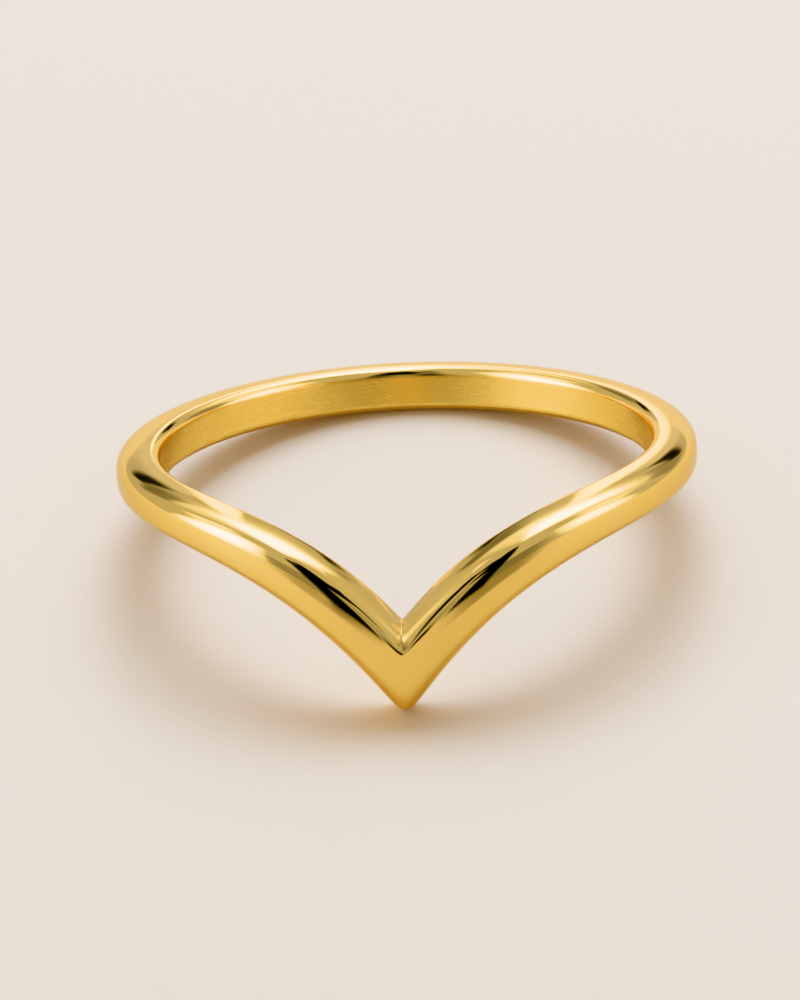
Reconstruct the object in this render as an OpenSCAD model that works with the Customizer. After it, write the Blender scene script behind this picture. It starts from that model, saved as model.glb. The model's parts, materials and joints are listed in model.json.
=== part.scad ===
// A plain chevron ring of polished metal: one band that dips to a point at the front.
// It lies as it comes to rest, on its point and on the lower edge of its back.
// The point faces -Y. The origin is below the middle of the ring, on the surface it lies on.

/* [Finger] */
// Bore that the finger goes through
bore_d = 17.3; // [14:0.1:23]

/* [Band] */
// Thickness of the band, from the bore to its crest
wall = 1.6; // [1.2:0.05:2.4]
// Width of the band at the back, along the bore
band_w = 1.6; // [1.3:0.05:2.4]
// Rounding of the upper edge beside the finger
edge_r = 0.35; // [0.15:0.05:0.5]
// Rounding of the lower edge beside the finger
under_edge_r = 0.15; // [0.1:0.05:0.5]
// Fullness of the outer face: 2 is an oval, 4 is nearly a box
crown = 3; // [2.2:0.1:4]

/* [Chevron] */
// How far the upper edge dips to the notch
notch_drop = 3.8; // [2:0.1:5]
// How much further than the upper edge the crest dips
crest_sag = 0.25; // [0:0.05:0.6]
// How far the lower edge dips to the point
point_drop = 5.8; // [4.8:0.1:8]
// Angle from the point at which the arms leave the plain band
arm_reach = 80; // [60:1:110]
// How hollow the sweep of the arms is: 2 is an even curve, 5 is a beak
arm_sweep = 4; // [2:0.1:5]
// The same for the lower edge
under_sweep = 3.6; // [2:0.1:5]
// Length over which the arms blend in the notch
notch_blend = 0.05; // [0.03:0.01:0.4]
// Length over which the arms blend at the point
point_blend = 0.36; // [0.15:0.01:1]

/* [Hidden] */

// Steps of the outer face, of a rounded inner edge, of one arm, of the back and of the bore
FACE_STEPS = 22;
EDGE_STEPS = 4;
ARM_STEPS = 36;
BACK_STEPS = 48;
BORE_FN = 180;
// Stations along the arms crowd together towards the point
ARM_CROWDING = 1.8;
// The raw band reaches this far into the bore before the bore is cut, and its inner edges
// stop turning at this angle, so that they meet the cut at a slant
bore_cover = 0.15;
EDGE_TURN = 60;

bore_r = bore_d / 2;
outer_r = bore_r + wall;
notch_ease = notch_blend / outer_r * 180 / PI;
point_ease = point_blend / outer_r * 180 / PI;

// The section runs from the bore over the upper edge, the crest and the lower edge, and back.
// A row is [distance out from the bore, height share, inset from the edge]. The height share
// is 1 at the upper edge, 0 at the crest and -1 at the lower edge.
function rim(turn) = pow(pow(abs(cos(turn)), crown) + pow(abs(sin(turn)), crown), -1 / crown);
function edge_of(side) = side > 0 ? edge_r : under_edge_r;
function face_row(turn) =
    let(edge = edge_of(cos(turn)))
    [edge + (wall - edge) * rim(turn) * sin(turn), rim(turn) * cos(turn), 0];
function edge_row(turn, side) =
    let(edge = edge_of(side)) [edge - edge * sin(turn), side, edge - edge * cos(turn)];
function cover_row(side) = [-bore_cover, side, edge_of(side)];
section = concat(
    [cover_row(1)],
    [for (i = [EDGE_STEPS : -1 : 1]) edge_row(EDGE_TURN * i / EDGE_STEPS, 1)],
    [for (i = [0 : FACE_STEPS]) face_row(180 * i / FACE_STEPS)],
    [for (i = [1 : EDGE_STEPS]) edge_row(EDGE_TURN * i / EDGE_STEPS, -1)],
    [cover_row(-1)]);

// The share of the full dip at an angle from the point. The ease rounds off the corner between
// the arms: it grows from the notch to the point, slowly at first.
function dip(from_point, ease, sweep) =
    pow(max(1 - sqrt(from_point * from_point + ease * ease) / arm_reach, 0), sweep);
function height(row, from_point) =
    let(way_down = (1 - row[1]) / 2,
        ease = notch_ease + (point_ease - notch_ease) * way_down * way_down,
        share = dip(from_point, ease, arm_sweep),
        upper = band_w / 2 - notch_drop * share,
        crest = -(notch_drop + crest_sag) * share,
        lower = -band_w / 2 - point_drop * dip(from_point, ease, under_sweep))
    row[1] > 0 ? crest + row[1] * (upper - crest) - row[2]
               : crest + row[1] * (crest - lower) + row[2];

// One section of the ring, standing at an angle around the bore from the point
function station(angle) =
    let(from_point = angle > 180 ? 360 - angle : abs(angle))
    [for (row = section) let(r = bore_r + row[0])
        [r * sin(angle), -r * cos(angle), height(row, from_point)]];
arm_angles = [for (i = [-ARM_STEPS : ARM_STEPS])
    sign(i) * arm_reach * pow(abs(i) / ARM_STEPS, ARM_CROWDING)];
back_angles = [for (i = [1 : BACK_STEPS - 1])
    arm_reach + (360 - 2 * arm_reach) * i / BACK_STEPS];
front = [for (angle = arm_angles) each station(angle)];
back = [for (angle = back_angles) each station(angle)];

// How it rests: tipped back until its point and its back touch the surface together
function lowest(points, tilt) = min([for (p = points) p[2] * cos(tilt) - p[1] * sin(tilt)]);
function along_y(points, tilt) = [for (p = points) p[1] * cos(tilt) + p[2] * sin(tilt)];
function rest_tilt(low, high, tries) =
    let(tilt = (low + high) / 2)
    tries == 0 ? tilt
    : lowest(front, tilt) < lowest(back, tilt) ? rest_tilt(tilt, high, tries - 1)
    : rest_tilt(low, tilt, tries - 1);
TILT_MOST = 60;
TILT_TRIES = 30;
tilt = rest_tilt(0, TILT_MOST, TILT_TRIES);
lift = -lowest(back, tilt);
middle_y = (min(along_y(front, tilt)) + max(along_y(back, tilt))) / 2;

// The band swept all the way round, before it is bored
module raw_band() {
    rows = len(section);
    stations = len(arm_angles) + len(back_angles);
    quads = [for (s = [0 : stations - 1], i = [0 : rows - 1])
        let(j = (i + 1) % rows, a = s * rows, b = (s + 1) % stations * rows)
        each [[a + i, b + i, b + j], [a + i, b + j, a + j]]];
    polyhedron(concat(front, back), quads, convexity = 6);
}

module bore() {
    bore_h = 2 * (band_w + point_drop);
    cylinder(r = bore_r, h = bore_h, center = true, $fn = BORE_FN);
}

module band() {
    color("#d9a93c")
        translate([0, -middle_y, lift])
            rotate([-tilt, 0, 0])
                difference() {
                    raw_band();
                    bore();
                }
}

band();
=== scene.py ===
"""A plain chevron ring of polished yellow gold, lying on a pale surface in a small studio."""

import json
import math

import bpy
from mathutils import Matrix, Vector


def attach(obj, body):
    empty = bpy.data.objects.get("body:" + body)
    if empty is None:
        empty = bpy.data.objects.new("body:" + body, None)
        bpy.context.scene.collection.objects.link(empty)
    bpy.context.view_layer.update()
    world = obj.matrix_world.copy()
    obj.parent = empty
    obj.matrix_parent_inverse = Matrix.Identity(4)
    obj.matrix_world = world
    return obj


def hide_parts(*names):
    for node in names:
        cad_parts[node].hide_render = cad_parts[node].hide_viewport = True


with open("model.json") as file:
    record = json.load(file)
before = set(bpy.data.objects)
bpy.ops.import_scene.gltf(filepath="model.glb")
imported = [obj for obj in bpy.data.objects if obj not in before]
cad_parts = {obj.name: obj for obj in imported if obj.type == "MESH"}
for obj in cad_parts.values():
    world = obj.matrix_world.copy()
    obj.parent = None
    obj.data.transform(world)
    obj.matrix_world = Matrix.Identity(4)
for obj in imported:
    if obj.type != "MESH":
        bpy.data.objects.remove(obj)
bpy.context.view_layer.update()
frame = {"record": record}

MM = 0.001

# The finger hole's place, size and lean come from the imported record.
finger_hole = frame["record"]["mounts"][0]
RING_CENTRE = Vector(finger_hole["pos_m"])
BORE_RADIUS = finger_hole["dims"]["r_mm"] * MM
RING_LEAN = math.atan2(finger_hole["axis"][1], finger_hole["axis"][2])

# The band's own sizes, as in the part's source
WALL = 1.6 * MM
BAND_WIDTH = 1.6 * MM
UPPER_EDGE_RADIUS = 0.35 * MM
UNDER_EDGE_RADIUS = 0.15 * MM
CROWN = 3.0
NOTCH_DROP = 3.8 * MM
CREST_SAG = 0.25 * MM
POINT_DROP = 5.8 * MM
ARM_REACH = math.radians(80)
ARM_SWEEP = 4.0
UNDER_SWEEP = 3.6
NOTCH_BLEND = 0.05 * MM
POINT_BLEND = 0.36 * MM

# The band's mesh: stations round the finger, crowded towards the point, and rows across. Where
# its ends meet at the back, the points closer than the seam gap are joined.
STATIONS = 960
ROWS = 100
STATION_CROWDING = 1.6
SEAM_GAP = 0.0002 * MM
# The share of the rows on the wall beside the finger, and on each rounded inner edge
WALL_SHARE = 0.12
EDGE_SHARE = 0.10

# The gold's tone goes between two, with a third on the wall that lies on the finger. That third
# tone is darker as painted shade: it stands in for the shaded floor that this wall mirrors. The
# rim tint shows at a glancing angle.
GOLD_LIGHT = (0.965, 0.675, 0.205, 1.0)
GOLD_DEEP = (0.945, 0.650, 0.180, 1.0)
GOLD_INSIDE_PAINTED_SHADE = (0.86, 0.585, 0.145, 1.0)
GOLD_RIM = (0.90, 0.83, 0.70, 1.0)
TONE_RANGE = (0.30, 0.70)
# The roughness of the polish, and what faint clouds, fine lines and the finger wall add to it
POLISH_ROUGHNESS = 0.05
CLOUD_ROUGHNESS = 0.035
LINE_ROUGHNESS = 0.025
FINGER_WALL_ROUGHNESS = 0.20
CLOUD_RANGE = (0.35, 0.70)
LINE_RANGE = (0.45, 0.75)
# The row, as a share, at which the finger wall's look has given way to the outer polish
FINGER_LOOK_END = WALL_SHARE * 1.3
# The lines run along the band: so many of their lengths go round it, and so many lie across
LINE_LENGTHS = 24.0
LINES_ACROSS = 160.0
CLOUD_NOISE = {"Scale": 420.0, "Detail": 3.0, "Roughness": 0.6}
LINE_NOISE = {"Scale": 1.0, "Detail": 4.0, "Roughness": 0.7}
PIT_NOISE = {"Scale": 9000.0, "Detail": 2.0, "Roughness": 0.5}
# How deep the lines are, and as shares of that the pits and all marks on the finger wall
POLISH_RELIEF = 0.000006 * MM
PIT_SHARE = 0.5
INSIDE_RELIEF = 0.4

# The camera looks at the middle of the finger hole. Its azimuth is turned from the point
# towards +X, and its elevation is above the surface.
CAMERA_DISTANCE = 0.150
CAMERA_AZIMUTH = 2.90
CAMERA_ELEVATION = 33.0
CAMERA_ROLL = -3.5
LENS = 191.2
SENSOR_WIDTH = 36.0
IMAGE_WIDTH = 800
IMAGE_HEIGHT = 1000
# Where the middle of the finger hole shows in the image, in pixels from the top left
CENTRE_PX_X = 406.5
CENTRE_PX_Y = 456.7

# The studio is a dome of cards round the middle of the finger hole. A card spans azimuths,
# counted from the point towards +X, and elevations, in degrees. Its fades are how many degrees
# it takes to thin out to nothing at its sides and at its top and foot.
SOFTBOXES = [
    # From the far to the near: name, first and last azimuth, lowest and highest elevation,
    # both fades, strength, and whether it lights the floor or the gold
    ("key_light", 110, 245, 42, 90, 35, 18, 3.45, "floor"),
    ("studio_wall", -181, 181, -4, 90, 1, 0.1, 0.62, "gold"),
    ("softbox_back_low", 168, 192, -4, 13, 6, 4, 0.8, "gold"),
    ("softbox_back_strip", 176.5, 185, -4, 48, 2.5, 4, 5.5, "gold"),
    ("softbox_back_wide", 112, 226, 15, 90, 30, 26, 1.5, "gold"),
    ("softbox_back", 134, 203, 26, 90, 22, 26, 20.0, "gold"),
    ("softbox_left", -103, -46, -10, 62, 28, 36, 28.0, "gold"),
    ("softbox_right", 55, 106, -3, 52, 24, 26, 11.0, "gold"),
    ("softbox_far_right", 92, 128, 24, 62, 14, 14, 2.2, "gold"),
    ("softbox_far_left", -128, -92, 30, 66, 14, 14, 2.6, "gold"),
]
# The first softbox's radius, and how much nearer each next one hangs
SOFTBOX_RADIUS = 1.20
SOFTBOX_GAP = 0.01
# Black flags and thin gauzes, which the gold alone sees. A near one darkens one arm only.
FLAGS = [
    # name, radius, first and last azimuth, lowest and highest elevation, both fades, cover
    ("flag_left", 0.036, -25, -4, -3.4, 55, 4, 3, 1.0),
    ("flag_right", 0.036, 10, 26, -1.6, 52, 3, 3, 1.0),
    ("flag_top", 0.30, -30, 14, 54, 73, 5, 5, 1.0),
    ("flag_front", 0.30, -5, 6, -3, 6, 3, 3, 1.0),
    ("flag_front_high", 0.30, -8, 26, 36, 80, 3, 4, 1.0),
    ("gauze_front", 0.30, -5, 12, 2, 48, 3, 3, 0.25),
    ("flag_back_left", 0.30, 188, 208, 4, 14, 5, 3, 1.0),
    ("flag_back_right", 0.30, 153, 172.5, 4, 14, 4, 3, 1.0),
    ("gauze_back_left", 0.30, 190, 226, 9, 32, 12, 7, 0.6),
    ("gauze_back_right", 0.036, 112, 152, 4, 27, 8, 5, 0.4),
    ("gauze_front_left", 0.048, -53, -8, -9, 27, 17, 4, 0.42),
    ("gauze_front_right", 0.048, 8, 54, -9, 27, 17, 4, 0.55),
]
# A small grey card stands over the notch, so that each arm is kept from the other's softbox:
# its near and far edge and its foot and top in millimetres, both fades, its cover and its glow
NOTCH_CARD = (-12.5, -5.0, 2.55, 9.5, 1.5, 0.8, 0.97, 0.66)
# The sides of a card's facets, in degrees
CARD_STEP = 4
# How much of the softboxes' light the gold throws on to the floor
THROWN_LIGHT = 0.25
SOFTBOX_COLOUR = (1.0, 1.0, 1.13, 1.0)
KEY_COLOUR = (1.0, 1.28, 1.62, 1.0)
# The air's warm light reaches the floor alone, since the studio wall hides it from the gold
AIR_COLOUR = (1.0, 0.78, 0.51, 1.0)
AIR_STRENGTH = 0.61
FLOOR_SIZE = 6.0
FLOOR_COLOUR = (0.80, 0.735, 0.66, 1.0)
FLOOR_ROUGHNESS = 0.8


class Socket:
    """A socket of a node tree. Python's operators on it add Math nodes."""

    def __init__(self, tree, socket=None):
        self.tree = tree
        self.socket = socket

    def node(self, kind, settings=None, inputs=None, out=0):
        """Adds a node, sets its settings and then its inputs, and gives its output."""
        node = self.tree.nodes.new(kind)
        for name, value in (settings or {}).items():
            if name == "stops":
                self.set_stops(node.color_ramp, value)
            else:
                setattr(node, name, value)
        for name, value in (inputs or {}).items():
            if isinstance(value, Socket):
                self.tree.links.new(value.socket, node.inputs[name])
            else:
                node.inputs[name].default_value = value
        return Socket(self.tree, node.outputs[out])

    def output(self, out):
        """Another output of the same node."""
        return Socket(self.tree, self.socket.node.outputs[out])

    @staticmethod
    def set_stops(ramp, stops):
        """Gives a colour ramp its stops, as (place, colour) pairs."""
        while len(ramp.elements) < len(stops):
            ramp.elements.new(1.0)
        for element, (place, colour) in zip(ramp.elements, stops):
            element.position = place
            element.color = colour

    def mix_colours(self, share, first, second):
        """A colour from the first to the second, as the share goes from 0 to 1."""
        # A Mix node has its colours at these inputs and this output
        return self.node("ShaderNodeMix", {"data_type": "RGBA"},
                         {0: share, 6: first, 7: second}, out=2)

    def math(self, operation, *values, clamp=False):
        """A Math node's result, from these values and sockets."""
        settings = {"operation": operation, "use_clamp": clamp}
        return self.node("ShaderNodeMath", settings, dict(enumerate(values)))

    def __add__(self, other):
        return self.math("ADD", self, other)

    def __radd__(self, other):
        return self.math("ADD", other, self)

    def __sub__(self, other):
        return self.math("SUBTRACT", self, other)

    def __rsub__(self, other):
        return self.math("SUBTRACT", other, self)

    def __mul__(self, other):
        return self.math("MULTIPLY", self, other)

    def __rmul__(self, other):
        return self.math("MULTIPLY", other, self)

    def __truediv__(self, other):
        return self.math("DIVIDE", self, other)

    def __rtruediv__(self, other):
        return self.math("DIVIDE", other, self)

    def __pow__(self, other):
        return self.math("POWER", self, other)

    def __neg__(self):
        return self.math("MULTIPLY", self, -1.0)

    def __abs__(self):
        return self.math("ABSOLUTE", self)

    def __gt__(self, other):
        return self.math("GREATER_THAN", self, other)

    def sine(self):
        return self.math("SINE", self)

    def cosine(self):
        return self.math("COSINE", self)

    def square_root(self):
        return self.math("SQRT", self)

    def sign(self):
        return self.math("SIGN", self)

    def at_least(self, low):
        return self.math("MAXIMUM", self, low)

    def share(self, start, end):
        """How far this is on its way from start to end, held between 0 and 1."""
        return self.math("DIVIDE", self - start, end - start, clamp=True)

    def between(self, low, high):
        """A number from low to high, as this goes from 0 to 1."""
        return low + (high - low) * self


def place_mesh(name, mesh):
    """Puts a mesh into the scene as it is, as an object at the origin."""
    piece = bpy.data.objects.new(name, mesh)
    bpy.context.scene.collection.objects.link(piece)
    return piece


def towards(azimuth, elevation):
    """The direction at an azimuth from the ring's point and an elevation, in degrees."""
    azimuth, elevation = math.radians(azimuth), math.radians(elevation)
    return Vector((math.sin(azimuth) * math.cos(elevation),
                   -math.cos(azimuth) * math.cos(elevation), math.sin(elevation)))


def geometry_tree(name, sizes):
    """A new Geometry Nodes tree, and its named inputs as sockets."""
    tree = bpy.data.node_groups.new(name, "GeometryNodeTree")
    for label, (kind, _) in sizes.items():
        tree.interface.new_socket(label, in_out="INPUT", socket_type=kind)
    tree.interface.new_socket("Geometry", in_out="OUTPUT", socket_type="NodeSocketGeometry")
    start = tree.nodes.new("NodeGroupInput")
    return tree, {label: Socket(tree, start.outputs[label]) for label in sizes}


def grow(name, tree, sizes):
    """The plain mesh object that a Geometry Nodes tree makes with these sizes."""
    piece = place_mesh(name, bpy.data.meshes.new(name))
    modifier = piece.modifiers.new(name, "NODES")
    modifier.node_group = tree
    for item in tree.interface.items_tree:
        if item.in_out == "INPUT":
            modifier[item.identifier] = sizes[item.name][1]
    grown = piece.evaluated_get(bpy.context.evaluated_depsgraph_get())
    mesh = bpy.data.meshes.new_from_object(grown)
    # The tree's grid starts with an empty material slot, which no face uses
    mesh.materials.pop(index=0)
    piece.modifiers.clear()
    piece.data = mesh
    return piece


def band_section(across, size):
    """A place across the band as its distance out from the bore, its height share, which is
    1 at the upper edge, 0 at the crest and -1 at the lower edge, and its inset from the edge.

    The rows climb the wall beside the finger, turn round the upper inner edge, pass over the
    outer face and turn back round the lower inner edge.
    """
    crown = size["Crown"]
    face_start = WALL_SHARE + EDGE_SHARE
    face_end = 1 - EDGE_SHARE
    climb = across.share(0.0, WALL_SHARE)
    upper_turn = across.share(WALL_SHARE, face_start) * (math.pi / 2)
    face_turn = across.share(face_start, face_end) * math.pi
    lower_turn = across.share(face_end, 1.0) * (math.pi / 2)

    rim = (abs(face_turn.cosine()) ** crown + abs(face_turn.sine()) ** crown) ** (-1 / crown)
    upper, under = size["Upper Edge Radius"], size["Under Edge Radius"]
    past_crest = face_turn > math.pi / 2
    edge = past_crest.between(upper, under)
    out = past_crest.between(upper * (1 - upper_turn.cosine()), under * lower_turn.cosine())
    out = out + (size["Wall"] - edge) * rim * face_turn.sine()
    height_share = rim * face_turn.cosine() + 2 * (climb - 1)
    inset = (climb.between(under, upper) * (1 - upper_turn.sine())
             + under * (1 - lower_turn.cosine()))
    return out, height_share, inset


def band_height(angle, height_share, inset, size):
    """The height along the finger, above the middle of the band's back. The ease rounds off
    the corner between the arms, and grows from the notch to the point."""
    outer_radius = size["Bore Radius"] + size["Wall"]
    way_down = (1 - height_share) / 2
    ease = (way_down * way_down).between(size["Notch Blend"], size["Point Blend"]) / outer_radius
    from_point = (angle * angle + ease * ease).square_root()
    nearness = (1 - from_point / size["Arm Reach"]).at_least(0.0)
    dip = nearness ** size["Arm Sweep"]
    half_width = size["Band Width"] / 2
    upper = half_width - dip * size["Notch Drop"]
    crest = -dip * (size["Notch Drop"] + size["Crest Sag"])
    lower = -half_width - nearness ** size["Under Sweep"] * size["Point Drop"]
    slope = (height_share > 0.0).between(crest - lower, upper - crest)
    return crest + height_share * (slope - inset)


def band_tree(sizes):
    """The tree that sweeps the section round the finger and lays the ring down as it rests."""
    tree, size = geometry_tree("chevron_band", sizes)
    # A flat grid, from -1 to 1 round the finger and from -0.5 to 0.5 across the band
    grid = size["Wall"].node("GeometryNodeMeshGrid", {}, {
        "Size X": 2.0, "Size Y": 1.0,
        "Vertices X": size["Stations"], "Vertices Y": size["Rows"]})
    place = grid.node("GeometryNodeInputPosition")
    turn = place.node("ShaderNodeSeparateXYZ", {}, {0: place})
    across = turn.output(1) + 0.5
    angle = turn.sign() * abs(turn) ** STATION_CROWDING * math.pi

    out, height_share, inset = band_section(across, size)
    height = band_height(angle, height_share, inset, size)
    radius = size["Bore Radius"] + out
    swept = radius.node("ShaderNodeCombineXYZ", {}, {
        0: radius * angle.sine(), 1: -radius * angle.cosine(), 2: height})
    band = grid.node("GeometryNodeSetPosition", {}, {"Geometry": grid, "Position": swept})
    band = band.node(
        "GeometryNodeStoreNamedAttribute", {"data_type": "FLOAT2", "domain": "CORNER"},
        {"Geometry": band, "Name": "UVMap", "Value": grid.output("UV Map")})
    band = band.node("GeometryNodeMergeByDistance", {}, {"Geometry": band, "Distance": SEAM_GAP})
    turned = band.node("ShaderNodeCombineXYZ", {}, {0: -size["Lean"]})
    band = band.node("GeometryNodeTransform", {}, {
        "Geometry": band, "Translation": size["Centre"], "Rotation": turned})
    band = band.node("GeometryNodeSetShadeSmooth", {}, {"Geometry": band, "Shade Smooth": True})
    band = band.node("GeometryNodeRealizeInstances", {}, {"Geometry": band})
    band = band.node("GeometryNodeSetMaterial", {}, {
        "Geometry": band, "Material": size["Material"]})
    end = tree.nodes.new("NodeGroupOutput")
    tree.links.new(band.socket, end.inputs[0])
    return tree


def make_band(gold):
    """The gold band, with the sizes that its tree's inputs take."""
    sizes = {
        "Bore Radius": ("NodeSocketFloat", BORE_RADIUS),
        "Wall": ("NodeSocketFloat", WALL),
        "Band Width": ("NodeSocketFloat", BAND_WIDTH),
        "Upper Edge Radius": ("NodeSocketFloat", UPPER_EDGE_RADIUS),
        "Under Edge Radius": ("NodeSocketFloat", UNDER_EDGE_RADIUS),
        "Crown": ("NodeSocketFloat", CROWN),
        "Notch Drop": ("NodeSocketFloat", NOTCH_DROP),
        "Crest Sag": ("NodeSocketFloat", CREST_SAG),
        "Point Drop": ("NodeSocketFloat", POINT_DROP),
        "Arm Reach": ("NodeSocketFloat", ARM_REACH),
        "Arm Sweep": ("NodeSocketFloat", ARM_SWEEP),
        "Under Sweep": ("NodeSocketFloat", UNDER_SWEEP),
        "Notch Blend": ("NodeSocketFloat", NOTCH_BLEND),
        "Point Blend": ("NodeSocketFloat", POINT_BLEND),
        "Centre": ("NodeSocketVector", RING_CENTRE),
        "Lean": ("NodeSocketFloat", RING_LEAN),
        "Stations": ("NodeSocketInt", STATIONS + 1),
        "Rows": ("NodeSocketInt", ROWS + 1),
        "Material": ("NodeSocketMaterial", gold),
    }
    return grow("gold_band", band_tree(sizes), sizes)


def new_material(name):
    """A material without nodes, and a socket to build its shader from."""
    material = bpy.data.materials.new(name)
    material.use_nodes = True
    tree = material.node_tree
    tree.nodes.clear()
    return material, Socket(tree)


def finish_material(material, shader):
    """Gives the material its output, with this shader on it."""
    output = material.node_tree.nodes.new("ShaderNodeOutputMaterial")
    material.node_tree.links.new(shader.socket, output.inputs["Surface"])
    return material


def polished_gold():
    """Mirror-polished yellow gold, with fine polishing lines that run along the band, faint
    clouding, and a softer polish on the wall that lies on the finger. That wall's darker gold is
    painted shade."""
    material, start = new_material("polished_yellow_gold")
    place = start.node("ShaderNodeTexCoord", out="Object")
    around = start.node("ShaderNodeSeparateXYZ", {}, {0: place.output("UV")})
    across = around.output(1)
    finger_wall = 1 - across.share(WALL_SHARE, FINGER_LOOK_END)

    cloud = start.node("ShaderNodeTexNoise", {}, {"Vector": place, **CLOUD_NOISE})
    stretched = start.node("ShaderNodeCombineXYZ", {}, {
        0: around * LINE_LENGTHS, 1: across * LINES_ACROSS})
    lines = start.node("ShaderNodeTexNoise", {"noise_dimensions": "2D"}, {
        "Vector": stretched, **LINE_NOISE})
    pits = start.node("ShaderNodeTexNoise", {}, {"Vector": place, **PIT_NOISE})

    stops = list(zip(TONE_RANGE, (GOLD_DEEP, GOLD_LIGHT)))
    tone = start.node("ShaderNodeValToRGB", {"stops": stops}, {"Fac": cloud})
    # The finger wall's darker gold is painted shade, standing in for the shaded floor that it
    # mirrors
    tone = start.mix_colours(finger_wall, tone, GOLD_INSIDE_PAINTED_SHADE)
    shine = cloud.share(*CLOUD_RANGE) * CLOUD_ROUGHNESS + lines.share(*LINE_RANGE) * LINE_ROUGHNESS
    roughness = POLISH_ROUGHNESS + shine + finger_wall * FINGER_WALL_ROUGHNESS
    relief = start.node("ShaderNodeBump", {}, {
        "Strength": 1.0, "Distance": POLISH_RELIEF,
        "Height": (lines + pits * PIT_SHARE) * finger_wall.between(1.0, INSIDE_RELIEF)})
    shader = start.node("ShaderNodeBsdfPrincipled", {}, {
        "Base Color": tone, "Metallic": 1.0, "Roughness": roughness, "Normal": relief,
        "Specular Tint": GOLD_RIM})
    return finish_material(material, shader)


def pale_floor_finish():
    """A matt, warm white."""
    material, start = new_material("pale_floor")
    shader = start.node("ShaderNodeBsdfPrincipled", {}, {
        "Base Color": FLOOR_COLOUR, "Roughness": FLOOR_ROUGHNESS})
    return finish_material(material, shader)


def edge_fade(start, wide, high, fades):
    """1 over a card, and smoothly 0 at its edges. The card's UV map is in its own units,
    degrees or millimetres, as its width, its height and its fades are."""
    uv = start.node("ShaderNodeTexCoord", out="UV")
    across = start.node("ShaderNodeSeparateXYZ", {}, {0: uv})
    level = None
    for place, extent, fade in zip((across, across.output(1)), (wide, high), fades):
        inside = place.math("MINIMUM", place, extent - place).share(0.0, min(fade, extent / 2))
        inside = inside * inside * (3 - 2 * inside)
        level = inside if level is None else level * inside
    return level


def card_finish(name, wide, high, fades, cover, strength, lights):
    """A softbox, or black gauze at no strength, that thins out to nothing at its edges. The
    gold throws little of a softbox's light on to the floor."""
    material, start = new_material(name)
    cover = edge_fade(start, wide, high, fades) * cover
    if lights == "gold":
        from_floor = start.node("ShaderNodeLightPath", out="Diffuse Depth")
        cover = cover * from_floor.share(0.0, 1.0).between(1.0, THROWN_LIGHT)
    clear = start.node("ShaderNodeBsdfTransparent")
    glow = start.node("ShaderNodeEmission", {}, {
        "Color": KEY_COLOUR if lights == "floor" else SOFTBOX_COLOUR, "Strength": strength})
    shader = start.node("ShaderNodeMixShader", {}, {0: cover, 1: clear, 2: glow})
    return finish_material(material, shader)


def hang_card(name, points, places, quads, finish, lights):
    """A card that the camera doesn't see. Its UV map holds the places over it."""
    mesh = bpy.data.meshes.new(name)
    mesh.from_pydata(points, [], quads)
    uv = mesh.uv_layers.new(name="UVMap")
    for loop, place in zip(mesh.loops, uv.data):
        place.uv = places[loop.vertex_index]
    mesh.materials.append(finish)
    card = place_mesh(name, mesh)
    card.visible_camera = False
    card.visible_glossy = lights == "gold"
    card.visible_diffuse = lights == "floor"
    card.visible_shadow = False


def dome_card(name, radius, span, fades, cover, strength, lights):
    """A card curved round the ring."""
    az_from, az_to, el_from, el_to = span
    wide, high = az_to - az_from, el_to - el_from
    columns = max(2, round(wide / CARD_STEP)) + 1
    rows = max(2, round(high / CARD_STEP)) + 1
    points, places, quads = [], [], []
    for row in range(rows):
        el = high * row / (rows - 1)
        for column in range(columns):
            az = wide * column / (columns - 1)
            points.append(RING_CENTRE + towards(az_from + az, el_from + el) * radius)
            places.append((az, el))
    for row in range(rows - 1):
        for column in range(columns - 1):
            first = row * columns + column
            quads.append((first, first + columns, first + columns + 1, first + 1))
    finish = card_finish(name, wide, high, fades, cover, strength, lights)
    hang_card(name, points, places, quads, finish, lights)


def notch_card(near, far, foot, top, side_fade, end_fade, cover, glow):
    """A flat card over the notch, on the ring's middle plane."""
    wide, high = far - near, top - foot
    corners = [(0, 0), (wide, 0), (wide, high), (0, high)]
    points = [Vector((0, near + along, foot + up)) * MM for along, up in corners]
    finish = card_finish("card_notch", wide, high, (side_fade, end_fade), cover, glow, "gold")
    hang_card("card_notch", points, corners, [(0, 1, 2, 3)], finish, "gold")


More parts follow.
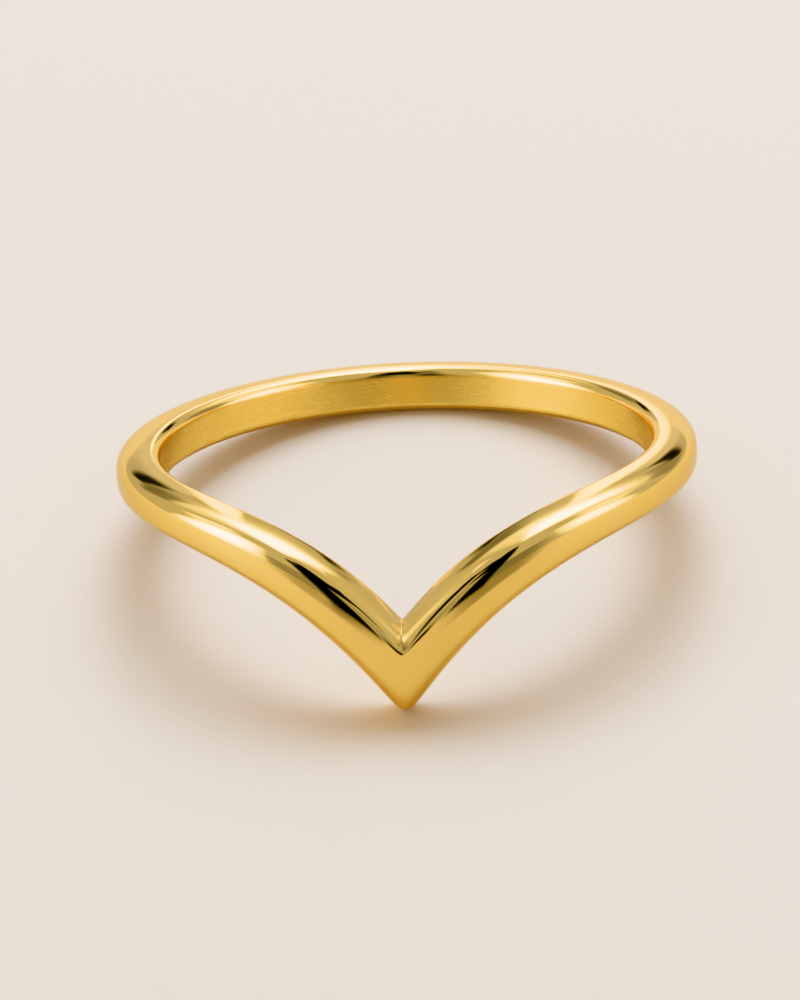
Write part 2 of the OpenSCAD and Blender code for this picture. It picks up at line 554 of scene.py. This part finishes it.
def hang_cards():
    """Hangs the softboxes, then the flags and gauzes, then the card over the notch."""
    for place, (name, *span_and_fades, strength, lights) in enumerate(SOFTBOXES):
        dome_card(name, SOFTBOX_RADIUS - place * SOFTBOX_GAP, span_and_fades[:4],
                  span_and_fades[4:], 1.0, strength, lights)
    for name, radius, *span_and_fades, cover in FLAGS:
        dome_card(name, radius, span_and_fades[:4], span_and_fades[4:], cover, 0.0, "gold")
    notch_card(*NOTCH_CARD)


def lay_floor():
    """Lays a plain floor under the ring."""
    half = FLOOR_SIZE / 2
    mesh = bpy.data.meshes.new("pale_floor")
    mesh.from_pydata([(-half, -half, 0), (half, -half, 0), (half, half, 0), (-half, half, 0)],
                     [], [(0, 1, 2, 3)])
    mesh.materials.append(pale_floor_finish())
    place_mesh("pale_floor", mesh)


def fill_with_air():
    """Fills the studio with faint warm light."""
    world = bpy.data.worlds.new("studio_air")
    world.use_nodes = True
    background = world.node_tree.nodes["Background"]
    background.inputs["Color"].default_value = AIR_COLOUR
    background.inputs["Strength"].default_value = AIR_STRENGTH
    bpy.context.scene.world = world


def make_camera():
    """Sets up the camera at the photograph's angle."""
    camera = bpy.data.cameras.new("camera")
    camera.sensor_fit = "HORIZONTAL"
    camera.sensor_width = SENSOR_WIDTH
    camera.lens = LENS
    camera.clip_start = CAMERA_DISTANCE / 10
    camera.dof.use_dof = False
    back = towards(CAMERA_AZIMUTH, CAMERA_ELEVATION)
    # Aimed a little off the ring's middle, to set the ring where the photograph has it
    focal_px = LENS / SENSOR_WIDTH * IMAGE_WIDTH
    aside = math.atan((CENTRE_PX_X - IMAGE_WIDTH / 2) / focal_px)
    above = math.atan((IMAGE_HEIGHT / 2 - CENTRE_PX_Y) / focal_px)
    turn = (back.to_track_quat("Z", "Y").to_matrix()
            @ Matrix.Rotation(math.radians(CAMERA_ROLL), 3, "Z")
            @ Matrix.Rotation(-above, 3, "X") @ Matrix.Rotation(aside, 3, "Y"))
    eye = bpy.data.objects.new("camera", camera)
    eye.matrix_world = Matrix.Translation(RING_CENTRE + back * CAMERA_DISTANCE) @ turn.to_4x4()
    bpy.context.scene.collection.objects.link(eye)
    bpy.context.scene.camera = eye


make_camera()
band = make_band(polished_gold())
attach(band, "root")
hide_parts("band")
hang_cards()
lay_floor()
fill_with_air()
bpy.context.scene.view_settings.view_transform = "Khronos PBR Neutral"
